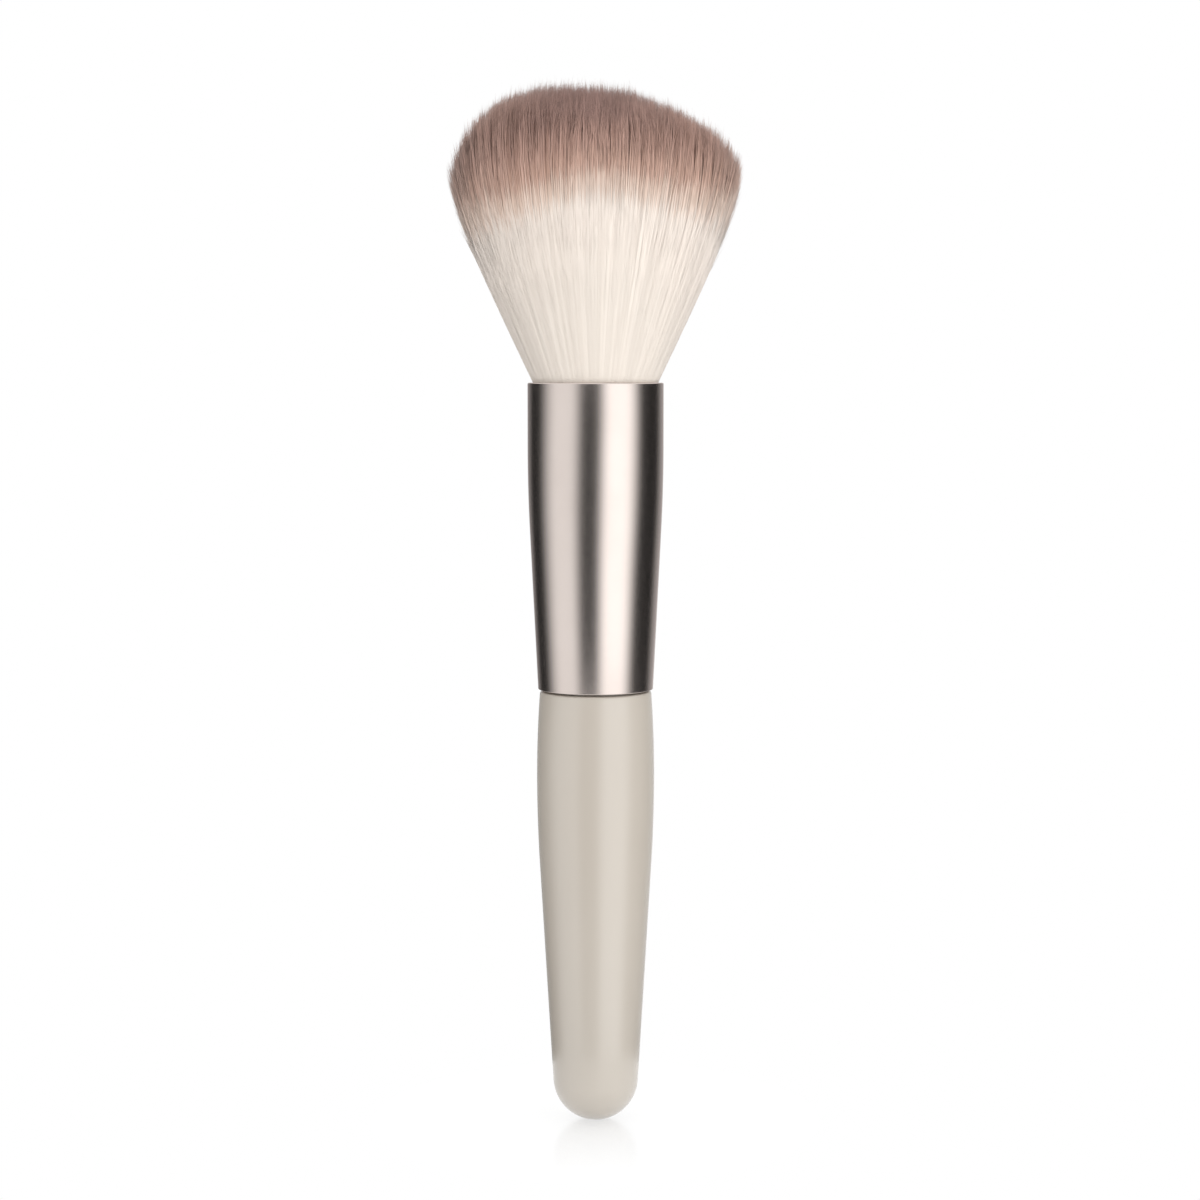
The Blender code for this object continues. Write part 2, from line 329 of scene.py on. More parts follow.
def ferrule_outline():
    """The ferrule's wall as a loop of rings: over the mouth, down outside, round the foot, up inside."""
    lip = ferrule_wall / 2
    top = ferrule_high.z - lip
    bottom = ferrule_low.z + foot_corner
    foot = ferrule_radius(bottom)
    start = ferrule_high.z - ferrule_straight
    steps = range(ferrule_bend_steps + 1)
    bends = [start - ferrule_bend * step / ferrule_bend_steps for step in steps]
    under, inside = math.radians(-90), math.radians(-180)
    outline = arc(ferrule_radius(top) - lip, top, lip, math.radians(180), 0, lip_steps)
    outline += [(ferrule_radius(height), height) for height in bends]
    outline += arc(foot - foot_corner, bottom, foot_corner, 0, under, foot_corner_steps)
    inner_corner = foot - ferrule_wall + foot_corner
    outline += arc(inner_corner, bottom, foot_corner, under, inside, foot_corner_steps)
    outline += [(ferrule_radius(height) - ferrule_wall, height) for height in reversed(bends)]
    return outline


def spun_tube(name, outline, sides):
    """A tube spun from a closed outline of (radius, height) points, as on a spinning lathe."""
    bpy.ops.object.select_all(action="DESELECT")
    bpy.ops.mesh.primitive_circle_add(vertices=len(outline), radius=mouth_radius)
    piece = bpy.context.object
    piece.name = name
    for vert, (radius, height) in zip(piece.data.vertices, outline):
        vert.co = (radius, 0, height)
    bpy.ops.object.mode_set(mode="EDIT")
    bpy.ops.mesh.select_all(action="SELECT")
    bpy.ops.mesh.spin(steps=sides, angle=math.tau, center=(0, 0, 0), axis=(0, 0, 1))
    bpy.ops.mesh.select_all(action="SELECT")
    bpy.ops.mesh.remove_doubles(threshold=weld_distance)
    bpy.ops.mesh.normals_make_consistent(inside=False)
    bpy.ops.object.mode_set(mode="OBJECT")
    bpy.ops.object.shade_smooth_by_angle(angle=ferrule_crisp_angle)
    return piece


def nickel_material():
    """Champagne nickel with the fine even grain of a blasted and plated surface."""
    # The edge tint is a painted warm reflection.
    constants = {"Metallic": 1.0, "Specular Tint": nickel_edge_reflection_tint}
    material, tree, shader = new_material("satin_nickel", constants)
    mottle, grain = grained(tree, nickel_grain)
    set_colour(tree, shader, mottle, nickel_stops)
    set_roughness(tree, shader, grain, *nickel_roughness)
    set_relief(tree, shader, grain, nickel_blast)
    return material


ferrule = spun_tube("nickel_ferrule", ferrule_outline(), ferrule_sides)
ferrule.data.materials.append(nickel_material())
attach(ferrule, "root")
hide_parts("ferrule")


# Root glue
# The plug of epoxy that was poured in behind the bundle of fibres, which soaks into their roots and
# bonds them to the ferrule.
epoxy_pale = (0.78, 0.71, 0.54, 1.0)
epoxy_deep = (0.64, 0.55, 0.37, 1.0)
epoxy_roughness = (0.16, 0.36)
refinish("root_glue", adhesive_material("root_epoxy", epoxy_deep, epoxy_pale, epoxy_roughness))


# Tie thread
# Undyed cotton thread, wound round the root of the bundle to hold the fibres together while the glue
# set. It stays on the root, hidden in the ferrule.
cotton_pale = (0.84, 0.81, 0.74, 1.0)
cotton_deep = (0.66, 0.61, 0.52, 1.0)
cotton_stops = [(0.1, cotton_deep), (0.8, cotton_pale)]
cotton_slant = (0.6, 0.6, 0.0)
cotton_twist = {"Scale": 900.0, "Distortion": 2.0}
cotton_ridges = {"Strength": 0.5, "Distance": 0.00008}
cotton_softness = {"Roughness": 0.9, "Sheen Weight": 0.3}


def cotton_material():
    """Soft undyed cotton, with its twist as slanting ridges."""
    material, tree, shader = new_material("cotton_thread", cotton_softness)
    place = new_node(tree, "ShaderNodeTexCoord").outputs["Object"]
    turned = new_node(tree, "ShaderNodeMapping", Vector=place, Rotation=cotton_slant)
    wave = new_node(tree, "ShaderNodeTexWave", Vector=turned.outputs["Vector"], **cotton_twist)
    set_colour(tree, shader, wave.outputs["Fac"], cotton_stops)
    set_relief(tree, shader, wave.outputs["Fac"], cotton_ridges)
    return material


refinish("tie_thread", cotton_material())


# Packed root of the tuft
# The fibres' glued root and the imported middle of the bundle, where they lie too close to be told
# apart. It all but fills the ferrule's mouth and ends well below the crown.
tuft_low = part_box("bristle_tuft")[0]
mouth_height = ferrule_high.z
mouth_reach = 0.0099
root_radius = 0.0088
tuft_half_width = 0.0223
tuft_half_depth = 0.0166
shoulder_rise = 0.0302
crown_rise = 0.0156
crown_rounding = 0.0070
flare_power = 4
side_flare_share = 1.16
front_flare_share = 1.5
packed_share = 0.992
packed_rise = 0.0320
packed_sink = 0.0040
packed_steps = 12
packed_turn = math.radians(86)
packed_fullness = 0.02
packed_sides = 96
packed_crisp_angle = math.radians(40)
packed_dye_shares = (0.76, 1.04)
ivory = (0.86, 0.79, 0.71, 1.0)
ivory_shade = (0.84, 0.77, 0.68, 1.0)
mauve = (0.36, 0.25, 0.215, 1.0)
mauve_deep = (0.27, 0.18, 0.155, 1.0)
ivory_stops = [(0.35, ivory_shade), (0.6, ivory)]
mauve_stops = [(0.35, mauve_deep), (0.6, mauve)]
packed_grain = {"Mottle Scale": 900.0, "Grain Scale": 2600.0, "Stretch": (1.0, 1.0, 0.04)}
packed_furrows = {"Strength": 0.4, "Distance": 0.0001}
packed_roughness = 0.7


def flare(rise, reach, reach_rise, flare_share):
    """How far the tuft's outside is from the axis at a rise above the mouth."""
    slope = flare_share * (reach - mouth_reach) / reach_rise
    excess = mouth_reach + slope * reach_rise - reach
    return mouth_reach + slope * rise - excess * (rise / reach_rise) ** flare_power


def half_width_at(rise):
    """Half the tuft's width at a rise above the mouth."""
    return flare(rise, tuft_half_width, shoulder_rise, side_flare_share)


def half_depth_at(rise):
    """Half the tuft's depth, from front to back, at a rise above the mouth."""
    edge_rise = shoulder_rise + crown_rise - crown_rounding
    return flare(rise, tuft_half_depth, edge_rise, front_flare_share)


def packed_rings():
    """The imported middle's rings, up from the glued root, flared, and rounded over at its top."""
    rings = [
        (root_radius, root_radius, tuft_low.z),
        (root_radius, root_radius, mouth_height - packed_sink),
    ]
    for step in range(packed_steps + 1):
        angle = packed_turn * step / packed_steps
        rise = packed_rise * math.sin(angle)
        share = packed_share * math.cos(angle) ** packed_fullness
        rings.append((half_width_at(rise) * share, half_depth_at(rise) * share, mouth_height + rise))
    return rings


def mixed_colour(tree, factor, first, second):
    """A colour that goes from the first to the second as a factor rises."""
    mixed = new_node(tree, "ShaderNodeMix", Factor=factor)
    mixed.data_type = "RGBA"
    colours = [socket for socket in mixed.inputs if socket.type == "RGBA"]
    tree.links.new(first, colours[0])
    tree.links.new(second, colours[1])
    return next(socket for socket in mixed.outputs if socket.type == "RGBA")


def packed_material():
    """Close-packed fibres as fine streaks, ivory below and dyed towards the top."""
    material, tree, shader = new_material("packed_fibres", {"Roughness": packed_roughness})
    streaks, grain = grained(tree, packed_grain)
    place = new_node(tree, "ShaderNodeTexCoord").outputs["Object"]
    dye = new_node(
        tree,
        "ShaderNodeMapRange",
        Value=new_node(tree, "ShaderNodeSeparateXYZ", Vector=place).outputs["Z"],
        From_Min=mouth_height + packed_rise * packed_dye_shares[0],
        From_Max=mouth_height + packed_rise * packed_dye_shares[1],
    )
    pale = new_ramp(tree, streaks, ivory_stops)
    dark = new_ramp(tree, streaks, mauve_stops)
    colour = mixed_colour(tree, dye.outputs["Result"], pale, dark)
    tree.links.new(colour, shader.inputs["Base Color"])
    set_relief(tree, shader, grain, packed_furrows)
    return material


packed = drawn_up("packed_fibre_root", packed_rings(), packed_sides, packed_crisp_angle)
packed.data.materials.append(packed_material())
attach(packed, "root")
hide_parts("bristle_tuft")


# Fibres
# Fine tapered synthetic fibres, ivory with mauve brown dyed ends, shaken tips down into a domed cup
# so that they gather in small locks, and fixed at their root. They are drawn as closed slender tubes,
# whole at the outside of the tuft and only near the crown inside it.
tuft_seed = 11
fibre_count = 80000
fibre_jitter_share = 0.002
lock_count = 3600
lock_jitter_share = 0.012
golden_angle = math.pi * (3 - math.sqrt(5))

# The crown is a dome that is a little higher at its left.
crown_slant = 0.0013
crown_power = 2.2
slant_power = 1.5
crown_halvings = 24

# Fibres lean, wander and wave on their way up. The outermost lie in a thin shell below the crown.
tuft_lean = 0.0002
lock_lean = 0.00042
fibre_lean = 0.00036
wild_share = 0.03
wild_times = 2
lean_limits = (0.0011, 0.0006)
root_wander = 0.008
wave_reach = 0.00035
width_wave = (9, 5, 1.3)
depth_wave = (7, 6, 0.4)
outside_share = 0.88
shell_share = 0.986
shell_rises = (0.024, 0.039)

# Tips gather in locks, some of which end short of the crown or stand proud of it.
gather_shares = (0.05, 0.55)
gather_length = 0.0030
short_lock_share = 0.5
short_lock_lengths = (0.0, 0.003)
proud_lock_share = 0.10
proud_lock_lengths = (0.0001, 0.0005)
stray_share = 0.3
stray_lengths = (0.0005, 0.008)
tip_scatter = 0.0006

# Each fibre is a tube of three sides, whose thickness runs out towards its tip.
fibre_radius = 0.000070
tip_taper = 0.0100
tip_taper_power = 0.5
root_thick_share = 0.75
root_sink = 0.0020
short_fibre_length = 0.0120
long_ring_shares = (0.0, 0.24, 0.46, 0.65, 0.8, 0.92)
short_ring_shares = (0.0, 0.6)
tube_sides = 3
corner_angles = np.array([1, 3, 5]) * math.tau / 6
turn_scatter = 0.5
tuft_sectors = 4

# Light falls on a fibre mostly as it does on the tuft's own outside.
outward_share = 0.95
crown_lift = 0.25
dome_floor = 0.02

# The dye's line is higher in the middle and on the right. At the sides the dye fades over more height
# and ends up lighter, which is painted rim light on the crown's sides. In the middle the tips reach the
# darkest colours, which are painted shade on the crown's top.
dye_rise = 0.0283
dye_slant = 0.0010
dye_middle_lift = 0.0036
dye_middle_share = 0.55
dye_run_and_rim_light_side_share = 0.3
dye_and_crown_shade_depth = 0.0098
dye_depth_and_rim_light_side_share = 0.45
dye_scatter_share = 0.02
dye_heights = (0.0095, 0.0055, 0.0015, -0.0015, -0.0050, -0.0200)
# The first colours, reached only mid-crown, are darker than the dye: painted shade on the crown's top.
dark_fibre_colours = [
    (0.115, 0.056, 0.043, 1.0),
    (0.31, 0.170, 0.127, 1.0),
    (0.52, 0.315, 0.235, 1.0),
    (0.74, 0.550, 0.440, 1.0),
    (0.905, 0.805, 0.718, 1.0),
    (0.870, 0.785, 0.700, 1.0),
]
pale_fibre_colours = [
    (0.49, 0.295, 0.250, 1.0),
    (0.66, 0.415, 0.338, 1.0),
    (0.71, 0.470, 0.380, 1.0),
    (0.86, 0.690, 0.590, 1.0),
    (0.920, 0.825, 0.742, 1.0),
    (0.888, 0.810, 0.728, 1.0),
]
fibre_softness = {
    "Roughness": 0.5,
    "Sheen Weight": 0.4,
    "Sheen Roughness": 0.45,
    "Sheen Tint": (1.0, 0.93, 0.90, 1.0),
}

# The fibre map has a row for each tone and runs along it from the dyed tips down to the ivory.
fibre_map_name = "OFBake"
map_reach = 0.0600
map_lead = 0.0180
map_edge_share = 0.01
cap_width_share = 0.02
cap_row_shares = (0.1, 0.5, 0.9)
side_row_start = 0.1
side_row_width = 0.27
tone_rows = 128
tone_row_margin = 0.001
lock_tone_share = 0.5
chance = np.random.default_rng(tuft_seed)


def arch(share):
    """A full round arch, 1 in the middle and 0 at its foot."""
    return (1 - np.minimum(share, 1) ** crown_power) ** (1 / crown_power)


def crown_over(x, y):
    """How far the crown is above the mouth over a place in plan."""
    out_share = np.abs(x) / tuft_half_width
    slant = crown_slant * np.sin(math.pi * np.minimum(out_share, 1) ** slant_power) * np.sign(x)
    rounding = crown_rounding * (1 - arch(np.abs(y) / tuft_half_depth))
    return shoulder_rise + crown_rise * arch(out_share) - slant - rounding


def crown_rise_of(across, deep):
    """The rise at which fibres meet the crown, found by halving."""
    low = np.zeros_like(across)
    high = np.full_like(across, shoulder_rise + crown_rise + crown_slant)
    for _ in range(crown_halvings):
        middle = (low + high) / 2
        over = crown_over(across * half_width_at(middle), deep * half_depth_at(middle))
        low = np.where(over > middle, middle, low)
        high = np.where(over > middle, high, middle)
    return low


def sunflower(count, jitter_share):
    """Places in plan like a sunflower's seeds, as shares of the tuft's half width and half depth."""
    place = np.arange(count)
    out_share = np.sqrt((place + 0.5) / count)
    angle = golden_angle * place
    places = np.stack([out_share * np.cos(angle), out_share * np.sin(angle)], axis=1)
    places += chance.normal(0, jitter_share, (count, 2))
    return places / np.maximum(np.linalg.norm(places, axis=1, keepdims=True), 1)


def locks_of(places, locks):
    """The number of the lock that each fibre is nearest to."""
    tree = KDTree(len(locks))
    for number, lock in enumerate(locks):
        tree.insert((lock[0], lock[1], 0), number)
    tree.balance()
    return np.array([tree.find((place[0], place[1], 0))[1] for place in places])


def dye_line_at(across):
    """The rise at which the dye has half faded, higher in the middle and on the right."""
    middle_lift = dye_middle_lift * np.exp(-((across / dye_middle_share) ** 2))
    return dye_rise + dye_slant * across + middle_lift


def dye_run_and_rim_light_at(across):
    """How much of the dye's run a height stands for, less at the sides: painted rim light there."""
    return 1 - dye_run_and_rim_light_side_share * across**2


def dye_and_painted_light_depth_at(across):
    """How far the colour darkens over the dye line: painted shade mid-crown, painted rim light at the
    sides.
    """
    return dye_and_crown_shade_depth * (1 - dye_depth_and_rim_light_side_share * np.abs(across))


def fibre_paths(chosen, ring_shares, start_rise):
    """Centre points (fibre, ring, xyz) of some fibres, how far each is from its tip, and outward.

    No fibre leans by more than the limits. Below the crown the outermost ones are drawn out into the
    shell, where they lie evenly beside each other.
    """
    count = len(chosen)
    own = lock_of[chosen]
    root, middle = fibre_places[chosen], lock_places[own]
    gather, short = lock_gather[own][:, None], lock_short[own][:, None]
    lean = lock_leans[own] + chance.normal(0, fibre_lean, (count, 2))
    lean[chance.uniform(0, 1, count) < wild_share] *= wild_times
    lean = np.clip(lean, [-limit for limit in lean_limits], lean_limits)
    wander = chance.normal(0, root_wander, (count, 1))

    def shares_at(drop):
        held = gather * np.exp(-drop / gather_length)
        return [root[:, axis, None] * (1 - held) + middle[:, axis, None] * held for axis in (0, 1)]

    def lean_at(drop, axis):
        return lean[:, axis, None] * np.exp(-drop / gather_length)

    stray = chance.uniform(*stray_lengths, (count, 1))
    stray[chance.uniform(0, 1, count) > stray_share] = 0
    tip = crown_rise_of(*shares_at(0.0)) - short - stray + chance.normal(0, tip_scatter, (count, 1))
    start = start_rise(tip)
    rise = start + (tip - start) * np.array([*ring_shares, 1.0])
    up = np.maximum(rise, 0) / (shoulder_rise + crown_rise)
    across, deep = shares_at(tip - rise)
    out = np.linalg.norm(root, axis=1)[:, None]
    in_shell = shell_share + (1 - shell_share) * (out - outside_share) / (1 - outside_share)
    close = np.clip((shell_rises[1] - rise) / (shell_rises[1] - shell_rises[0]), 0, 1)
    spread = 1 + close * np.where(out < outside_share, 0, in_shell / out - 1)
    across, deep = across * spread, deep * spread
    turn = wander * (1 - up)
    across, deep = (
        across * np.cos(turn) - deep * np.sin(turn),
        across * np.sin(turn) + deep * np.cos(turn),
    )
    wave = wave_reach * up**2
    x = across * half_width_at(rise) + lean_at(tip - rise, 0) + tuft_lean * up**2
    y = deep * half_depth_at(rise) + lean_at(tip - rise, 1)
    x += wave * np.sin(width_wave[0] * across + width_wave[1] * deep + width_wave[2])
    y += wave * np.sin(depth_wave[0] * deep - depth_wave[1] * across + depth_wave[2])
    dome = np.sqrt(np.maximum(1 - across**2 - deep**2, dome_floor)) * up**2 + crown_lift * up**4
    outward = np.stack([across, deep, dome], axis=2)
    outward /= np.linalg.norm(outward, axis=2, keepdims=True)
    return np.stack([x, y, mouth_height + rise], axis=2), tip - rise, outward


def tube_points(paths, drops, outward):
    """The tubes' points (fibre, point, xyz), ring by ring with the tip last, and how each one faces."""
    count, rings = paths.shape[0], paths.shape[1] - 1
    radius = fibre_radius * np.minimum(drops[:, :-1] / tip_taper, 1) ** tip_taper_power
    rise = paths[:, :-1, 2] - mouth_height
    radius *= root_thick_share + (1 - root_thick_share) * np.clip(rise / shoulder_rise, 0, 1)
    facing_angle = np.arctan2(outward[:, 0, 1], outward[:, 0, 0])
    own_turn = facing_angle + chance.normal(0, turn_scatter, count)
    turn = own_turn[:, None] + corner_angles
    corner = np.stack([np.cos(turn), np.sin(turn), np.zeros_like(turn)], axis=2)
    tube = paths[:, :-1, None, :] + radius[:, :, None, None] * corner[:, None, :, :]
    facing = outward_share * outward[:, :-1, None, :] + (1 - outward_share) * corner[:, None, :, :]
    facing /= np.linalg.norm(facing, axis=3, keepdims=True)
    side_points = (count, rings * tube_sides, 3)
    points = np.concatenate([tube.reshape(side_points), paths[:, -1:, :]], axis=1)
    return points, np.concatenate([facing.reshape(side_points), outward[:, -1:, :]], axis=1)


def tube_faces(rings):
    """One tube's faces as point numbers, and the (ring, share of a map row) of each of their corners."""
    edges = [side_row_start + side * side_row_width for side in range(tube_sides + 1)]
    faces = [[0, 2, 1]]
    places = [[(0, share) for share in cap_row_shares]]
    for ring in range(rings):
        low, high = tube_sides * ring, tube_sides * (ring + 1)
        for side in range(tube_sides):
            following = (side + 1) % tube_sides
            edge, next_edge = edges[side], edges[side + 1]
            face, place = [low + side, low + following], [(ring, edge), (ring, next_edge)]
            if ring < rings - 1:
                face += [high + following, high + side]
                place += [(ring + 1, next_edge), (ring + 1, edge)]
            else:
                face.append(high)
                place.append((rings, (edge + next_edge) / 2))
            faces.append(face)
            places.append(place)
    return faces, places


def map_places(paths, tones, across, ring_of, row_share):
    """Where every corner lies on the fibre map.

    U is how far below the dye line it is, scaled by the dye's run there and held to its depth; these
    paint rim light on the crown's sides and shade on its top. V is a place in the row of its tone.
    """
    below_line = mouth_height + dye_line_at(across)[:, None] - paths[:, :, 2]
    below_line *= dye_run_and_rim_light_at(across)[:, None]
    below_line = np.maximum(below_line, -dye_and_painted_light_depth_at(across)[:, None])
    along = map_edge_share + (below_line + map_lead) / map_reach
    along = np.clip(along, 0, 1 - cap_width_share)[:, ring_of]
    # The face that closes a root is level, so two of its corners move along to give it some width.
    along[:, 0:2] += cap_width_share
    row = np.floor(tones * (tone_rows - tone_row_margin))[:, None]
    down = (row + row_share) / tone_rows
    return np.stack([along, down], axis=2)


def fibre_mesh(name, paths, drops, outward, tones, across):
    """Three-sided tapering tubes with closed roots as one mesh, with the fibre map on it."""
    points, facing = tube_points(paths, drops, outward)
    faces, places = tube_faces(paths.shape[1] - 1)
    corners = np.array([index for face in faces for index in face])
    sizes = np.array([len(face) for face in faces])
    ring_of = np.array([ring for face in places for ring, _ in face])
    row_share = np.array([share for face in places for _, share in face])
    numbers = np.arange(len(points))[:, None]
    corner_points = numbers * points.shape[1] + corners
    face_starts = numbers * len(corners) + np.concatenate([[0], np.cumsum(sizes)[:-1]])

    mesh = bpy.data.meshes.new(name)
    mesh.vertices.add(len(points) * points.shape[1])
    mesh.vertices.foreach_set("co", points.astype(np.float32).ravel())
    mesh.loops.add(corner_points.size)
    mesh.loops.foreach_set("vertex_index", corner_points.astype(np.int32).ravel())
    mesh.polygons.add(face_starts.size)
    mesh.polygons.foreach_set("loop_start", face_starts.astype(np.int32).ravel())
    mesh.update(calc_edges=True)
    mesh.validate()
    fibre_map = mesh.uv_layers.new(name=fibre_map_name)
    on_map = map_places(paths, tones, across, ring_of, row_share)
    fibre_map.uv.foreach_set("vector", on_map.astype(np.float32).ravel())
    mesh.shade_smooth()
    mesh.normals_split_custom_set_from_vertices(facing.reshape(-1, 3))
    piece = bpy.data.objects.new(name, mesh)
    bpy.context.scene.collection.objects.link(piece)
    return piece


def new_math(tree, operation, *values):
    """What a maths node makes of some values or other nodes' outputs."""
    made = new_node(tree, "ShaderNodeMath", *values)
    made.operation = operation
    return made.outputs[0]


def fibre_material():
    """Ivory darkening to mauve brown over each fibre's end, no two alike; its darkest tips are painted
    shade.
    """
    material, tree, shader = new_material("two_tone_fibre", fibre_softness)
    fibre_map = tree.nodes.new("ShaderNodeUVMap")
    fibre_map.uv_map = fibre_map_name
    place = new_node(tree, "ShaderNodeSeparateXYZ", Vector=fibre_map.outputs["UV"]).outputs
    row = new_math(tree, "FLOOR", new_math(tree, "MULTIPLY", place["Y"], tone_rows))
    own = tree.nodes.new("ShaderNodeTexWhiteNoise")
    own.noise_dimensions = "1D"
    tree.links.new(row, own.inputs["W"])
    shift = new_node(
        tree,
        "ShaderNodeMapRange",
        Value=own.outputs["Value"],
        To_Min=-dye_scatter_share,
        To_Max=dye_scatter_share,
    )
    dyed = new_math(tree, "ADD", place["X"], shift.outputs["Result"])
    ends = [map_edge_share + (map_lead - height) / map_reach for height in dye_heights]
    dark = new_ramp(tree, dyed, list(zip(ends, dark_fibre_colours)))
    pale = new_ramp(tree, dyed, list(zip(ends, pale_fibre_colours)))
    colour = mixed_colour(tree, place["Y"], dark, pale)
    tree.links.new(colour, shader.inputs["Base Color"])
    return material


lock_places = sunflower(lock_count, lock_jitter_share)
lock_short = chance.uniform(*short_lock_lengths, lock_count)
lock_short[chance.uniform(0, 1, lock_count) > short_lock_share] = 0
proud = chance.uniform(0, 1, lock_count) < proud_lock_share
lock_short[proud] = -chance.uniform(*proud_lock_lengths, lock_count)[proud]
lock_leans = chance.normal(0, lock_lean, (lock_count, 2))
lock_gather = chance.uniform(*gather_shares, lock_count)
lock_tone = chance.uniform(0, 1, lock_count)
fibre_places = sunflower(fibre_count, fibre_jitter_share)
fibre_out = np.linalg.norm(fibre_places, axis=1)
fibre_angle = np.arctan2(fibre_places[:, 1], fibre_places[:, 0])
lock_of = locks_of(fibre_places, lock_places)
two_tone = fibre_material()


def fibre_pieces(name, chosen, ring_shares, start_rise):
    """The chosen fibres, as pieces that are each a sector of the tuft."""
    order = chosen[np.argsort(fibre_angle[chosen])]
    for index, fibres in enumerate(np.array_split(order, tuft_sectors)):
        paths, from_tip, outward = fibre_paths(fibres, ring_shares, start_rise)
        own_tone = chance.uniform(0, 1, len(fibres))
        tones = own_tone + lock_tone_share * (lock_tone[lock_of[fibres]] - own_tone)
        across = fibre_places[fibres, 0]
        piece = fibre_mesh(f"{name}_{index + 1}", paths, from_tip, outward, tones, across)
        piece.data.materials.append(two_tone)
        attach(piece, "root")
        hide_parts("bristle_tuft")


outer = np.flatnonzero(fibre_out >= outside_share)
inner = np.flatnonzero(fibre_out < outside_share)
fibre_pieces("long_fibres", outer, long_ring_shares, lambda tip: np.full_like(tip, -root_sink))
fibre_pieces("inner_fibres", inner, short_ring_shares, lambda tip: tip - short_fibre_length)


# Studio
# A small white floor in a white room, in a round light tent with a bright panel at the front right and
# softer ones at the front left and behind. Three soft lamps light the brush, and the camera stands
# level with the ferrule's mouth and looks a little down.
camera_distance = 0.428
camera_side = 0.0007
camera_pitch = math.radians(4.62)
camera_lens = 80.7
camera_sensor = 36.0
camera_near = 0.01
pure_white = (1.0, 1.0, 1.0, 1.0)
floor_radius = 0.036
floor_sides = 128
floor_gap = 0.0001
floor_glow = 0.86
floor_white = 0.85
floor_seen_white = 0.15
floor_gloss_ior = 1.45
floor_roughness = 0.2
reflection_reach = (0.004, 0.034)
tent_radius = 0.62
tent_sides = 180
tent_turn = math.radians(-90)
tent_low = -0.25
tent_high = 0.35
tent_strength = 1.55
tent_slant = math.radians(4.5)
slant_heights = (-0.02, 0.11)
# Degrees round from the camera's side, positive to the right, and how bright the tent is there.
tent_levels = (
    (-180, 0.65),
    (-155, 0.20),
    (-130, 0.01),
    (-112, 0.01),
    (-67, 0.65),
    (-42, 0.65),
    (-16, 0.02),
    (0, 0.02),
    (26, 1.0),
    (54, 1.0),
    (88, 0.01),
    (122, 0.01),
    (151, 0.28),
    (180, 0.65),
)
room_strength = 1.25
lamp_distance = 0.5
lamp_size = 0.45
# Degrees round from the camera's side, and watts.
lamp_powers = {"right_lamp": (85, 0.5), "front_lamp": (8, 0.4), "back_lamp": (-165, 0.5)}


def seen_mask(tree):
    """1 for rays that see the studio directly, in a reflection or through glass, and 0 for its light."""
    path = tree.nodes.new("ShaderNodeLightPath").outputs
    mask = path["Is Camera Ray"]
    for name in ("Is Glossy Ray", "Is Transmission Ray"):
        mask = new_math(tree, "MAXIMUM", mask, path[name])
    return mask


def bare_material(name):
    """A material with no shader yet, its node tree and the socket of its surface."""
    material = bpy.data.materials.new(name)
    material.use_nodes = True
    tree = material.node_tree
    tree.nodes.clear()
    return material, tree, tree.nodes.new("ShaderNodeOutputMaterial").inputs["Surface"]


def add_floor():
    """A white round floor, as white as the room where it is seen and nothing shades it."""
    bpy.ops.object.select_all(action="DESELECT")
    bpy.ops.mesh.primitive_circle_add(
        vertices=floor_sides, radius=floor_radius, fill_type="NGON", location=(0, 0, -floor_gap)
    )
    floor = bpy.context.object
    floor.name = "studio_floor"
    material, tree, surface = bare_material("white_floor")
    seen = seen_mask(tree)
    white = new_node(
        tree, "ShaderNodeMapRange", Value=seen, To_Min=floor_white, To_Max=floor_seen_white
    )
    glow = new_node(tree, "ShaderNodeMapRange", Value=seen, To_Max=floor_glow)
    matt = new_node(tree, "ShaderNodeBsdfDiffuse", Color=white.outputs["Result"])
    lit = new_node(tree, "ShaderNodeEmission", Strength=glow.outputs["Result"])
    gloss = new_node(tree, "ShaderNodeBsdfGlossy", Color=pure_white, Roughness=floor_roughness)
    under = new_node(tree, "ShaderNodeAddShader", matt.outputs[0], lit.outputs[0])
    fresnel = new_node(tree, "ShaderNodeFresnel", IOR=floor_gloss_ior)
    place = new_node(tree, "ShaderNodeTexCoord").outputs["Object"]
    away = new_node(tree, "ShaderNodeVectorMath", place)
    away.operation = "LENGTH"
    polished = new_node(
        tree,
        "ShaderNodeMapRange",
        Value=away.outputs["Value"],
        From_Min=reflection_reach[0],
        From_Max=reflection_reach[1],
        To_Min=1.0,
        To_Max=0.0,
    )
    mirrored = new_math(tree, "MULTIPLY", fresnel.outputs[0], polished.outputs["Result"])
    coated = new_node(tree, "ShaderNodeMixShader", mirrored, under.outputs[0], gloss.outputs[0])
    tree.links.new(coated.outputs[0], surface)
    floor.data.materials.append(material)


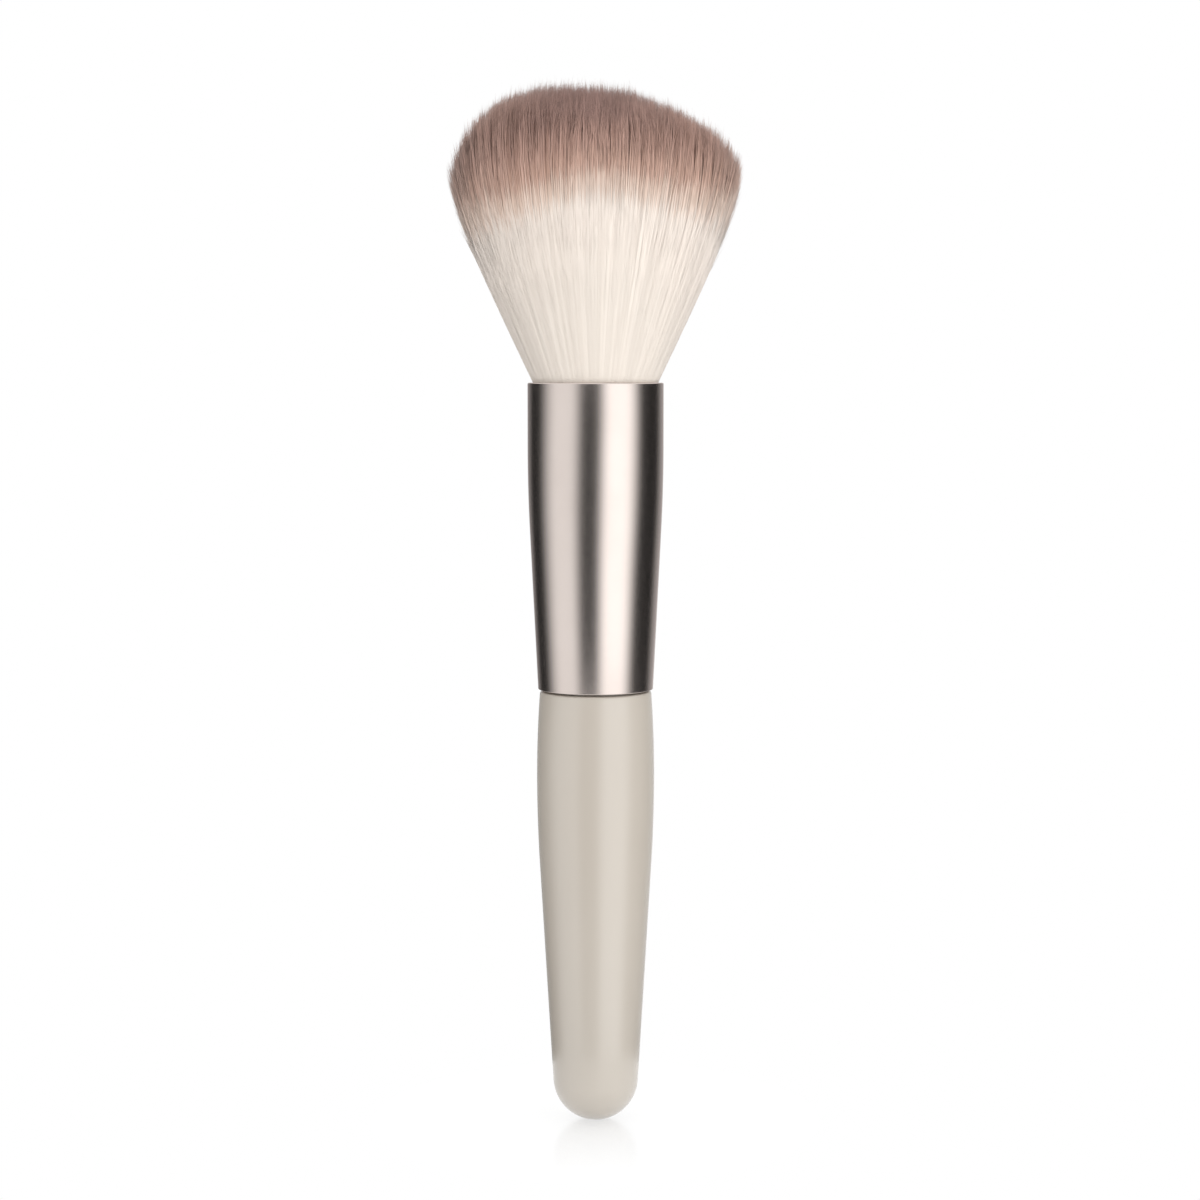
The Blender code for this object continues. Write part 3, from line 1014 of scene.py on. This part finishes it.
def add_tent():
    """The light tent: a round wall with three soft lit panels, which give the metal its bands.

    Low down the panels are turned a little round the brush, so that the bands lean.
    """
    middle = (tent_low + tent_high) / 2
    bpy.ops.object.select_all(action="DESELECT")
    bpy.ops.mesh.primitive_cylinder_add(
        vertices=tent_sides,
        radius=tent_radius,
        depth=tent_high - tent_low,
        end_fill_type="NOTHING",
        location=(0, 0, middle),
        rotation=(0, 0, tent_turn),
    )
    tent = bpy.context.object
    tent.name = "light_tent"
    material, tree, surface = bare_material("tent_panels")
    place = new_node(tree, "ShaderNodeTexCoord").outputs["Object"]
    round_wall = new_node(tree, "ShaderNodeTexGradient", Vector=place)
    round_wall.gradient_type = "RADIAL"
    slant = new_node(
        tree,
        "ShaderNodeMapRange",
        Value=new_node(tree, "ShaderNodeSeparateXYZ", Vector=place).outputs["Z"],
        From_Min=slant_heights[0] - middle,
        From_Max=slant_heights[1] - middle,
        To_Min=tent_slant / math.tau,
        To_Max=0.0,
    )
    slanted = new_math(tree, "ADD", round_wall.outputs["Fac"], slant.outputs["Result"])
    stops = [((angle + 180) / 360, (level, level, level, 1.0)) for angle, level in tent_levels]
    levels = new_ramp(tree, slanted, stops)
    panel = new_node(tree, "ShaderNodeEmission", Color=levels, Strength=tent_strength)
    tree.links.new(panel.outputs["Emission"], surface)
    tent.data.materials.append(material)
    tent.visible_camera = False


def add_lamp(name, azimuth, power):
    """A soft lamp that lights the brush but isn't mirrored in the metal."""
    angle = math.radians(azimuth)
    bpy.ops.object.select_all(action="DESELECT")
    bpy.ops.object.light_add(
        type="AREA",
        location=(lamp_distance * math.sin(angle), -lamp_distance * math.cos(angle), mouth_height),
        rotation=(math.radians(90), 0, angle),
    )
    lamp = bpy.context.object
    lamp.name = name
    lamp.data.size = lamp_size
    lamp.data.energy = power
    lamp.visible_camera = False
    lamp.visible_glossy = False


def set_world():
    """A plain white room."""
    world = bpy.data.worlds.new("white_room")
    bpy.context.scene.world = world
    world.use_nodes = True
    tree = world.node_tree
    background = tree.nodes["Background"]
    background.inputs["Color"].default_value = pure_white
    strength = new_node(
        tree, "ShaderNodeMapRange", Value=seen_mask(tree), To_Min=room_strength, To_Max=1.0
    )
    tree.links.new(strength.outputs["Result"], background.inputs["Strength"])


def add_camera():
    """The camera, with a long lens, at the height of the ferrule's mouth."""
    bpy.ops.object.select_all(action="DESELECT")
    bpy.ops.object.camera_add(
        location=(camera_side, -camera_distance, mouth_height),
        rotation=(math.radians(90) - camera_pitch, 0, 0),
    )
    camera = bpy.context.object
    camera.data.lens = camera_lens
    camera.data.sensor_width = camera_sensor
    camera.data.clip_start = camera_near
    bpy.context.scene.camera = camera


add_floor()
add_tent()
for name, (azimuth, power) in lamp_powers.items():
    add_lamp(name, azimuth, power)
set_world()
add_camera()
bpy.context.scene.view_settings.view_transform = "Standard"
